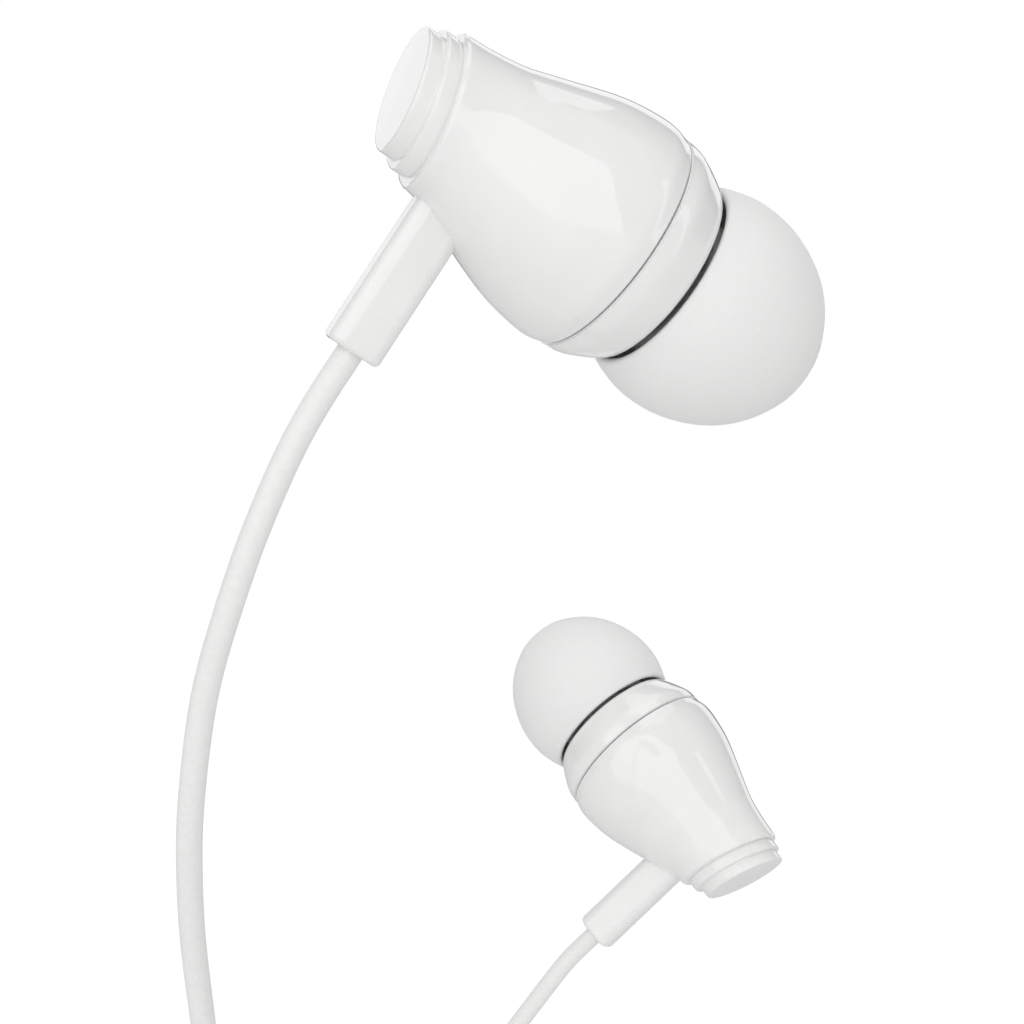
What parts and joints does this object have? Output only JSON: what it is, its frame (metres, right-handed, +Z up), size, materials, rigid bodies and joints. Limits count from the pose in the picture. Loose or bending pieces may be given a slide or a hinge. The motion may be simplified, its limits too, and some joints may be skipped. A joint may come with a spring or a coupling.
{
  "type": "wired earphones",
  "caption": "White in-ear wired earphones: bottle-shaped driver casings with silicone tips, side sleeves, cords meeting in a splitter, spare cord in a tied hank, jack plug.",
  "frame": {"origin": "centre of the left ear tip's widest ring, where the left ear holds it", "axes": "+Z up as the earphones are held, +Y from the left earpiece to the right one, +X to the right of a viewer who looks along +Y"},
  "size_m": [0.0402, 0.0726, 0.1855],
  "materials": {
    "gloss_white_abs": "injection moulded, polished",
    "charcoal_elastomer": "matte",
    "steel": "satin",
    "white_silicone": "matte, soft",
    "black_abs": "moulded",
    "polymer_film": "thin clear film",
    "copper_wire": "enamelled wire",
    "plated_magnet": "nickel plated",
    "black_felt": "felted",
    "circuit_board": "solder mask",
    "cord_jacket": "satin elastomer",
    "gold_plating": "gold plated"
  },
  "bodies": {
    "root": {"left_rear_shell": "gloss_white_abs", "left_tail_cap": "gloss_white_abs", "left_front_cap": "gloss_white_abs", "left_gasket_ring": "charcoal_elastomer", "left_nozzle_mesh": "steel", "left_stem_sleeve": "gloss_white_abs", "left_cord_crimp": "steel", "left_driver_frame": "black_abs", "left_driver_top_plate": "steel", "left_driver_magnet": "plated_magnet", "left_driver_yoke": "steel", "left_tuning_felt": "black_felt", "left_solder_board": "circuit_board", "left_ear_cord": "cord_jacket", "left_ear_cord_hank": "cord_jacket", "left_ear_cord_tail": "cord_jacket", "right_rear_shell": "gloss_white_abs", "right_tail_cap": "gloss_white_abs", "right_front_cap": "gloss_white_abs", "right_gasket_ring": "charcoal_elastomer", "right_nozzle_mesh": "steel", "right_stem_sleeve": "gloss_white_abs", "right_cord_crimp": "steel", "right_driver_frame": "black_abs", "right_driver_top_plate": "steel", "right_driver_magnet": "plated_magnet", "right_driver_yoke": "steel", "right_tuning_felt": "black_felt", "right_solder_board": "circuit_board", "right_ear_cord": "cord_jacket", "right_ear_cord_hank": "cord_jacket", "right_ear_cord_tail": "cord_jacket", "main_cord_start": "cord_jacket", "main_cord_hank": "cord_jacket", "main_cord_end": "cord_jacket", "hank_tie": "charcoal_elastomer", "splitter_body": "gloss_white_abs", "splitter_collar": "charcoal_elastomer", "plug_strain_relief": "gloss_white_abs", "plug_grip": "gloss_white_abs", "plug_sleeve_contact": "gold_plating", "plug_upper_insulator": "charcoal_elastomer", "plug_ring_contact": "gold_plating", "plug_lower_insulator": "charcoal_elastomer", "plug_tip_contact": "gold_plating"},
    "left_tip": {"left_ear_tip": "white_silicone"},
    "right_tip": {"right_ear_tip": "white_silicone"},
    "left_diaphragm_unit": {"left_diaphragm": "polymer_film", "left_voice_coil": "copper_wire"},
    "right_diaphragm_unit": {"right_diaphragm": "polymer_film", "right_voice_coil": "copper_wire"}
  },
  "joints": [
    {"name": "left_tip_pull", "type": "slide", "parent": "root", "child": "left_tip", "axis": [0.7823, 0.3612, -0.5074], "range_m": [0, 0.008]},
    {"name": "left_diaphragm_travel", "type": "slide", "parent": "root", "child": "left_diaphragm_unit", "axis": [0.7823, 0.3612, -0.5074], "range_m": [-0.00015, 0.00015], "stiffness_N_per_m": 100},
    {"name": "right_tip_pull", "type": "slide", "parent": "root", "child": "right_tip", "axis": [-0.5944, 0.4241, 0.6832], "range_m": [0, 0.008]},
    {"name": "right_diaphragm_travel", "type": "slide", "parent": "root", "child": "right_diaphragm_unit", "axis": [-0.5944, 0.4241, 0.6832], "range_m": [-0.00015, 0.00015], "stiffness_N_per_m": 100}
  ]
}
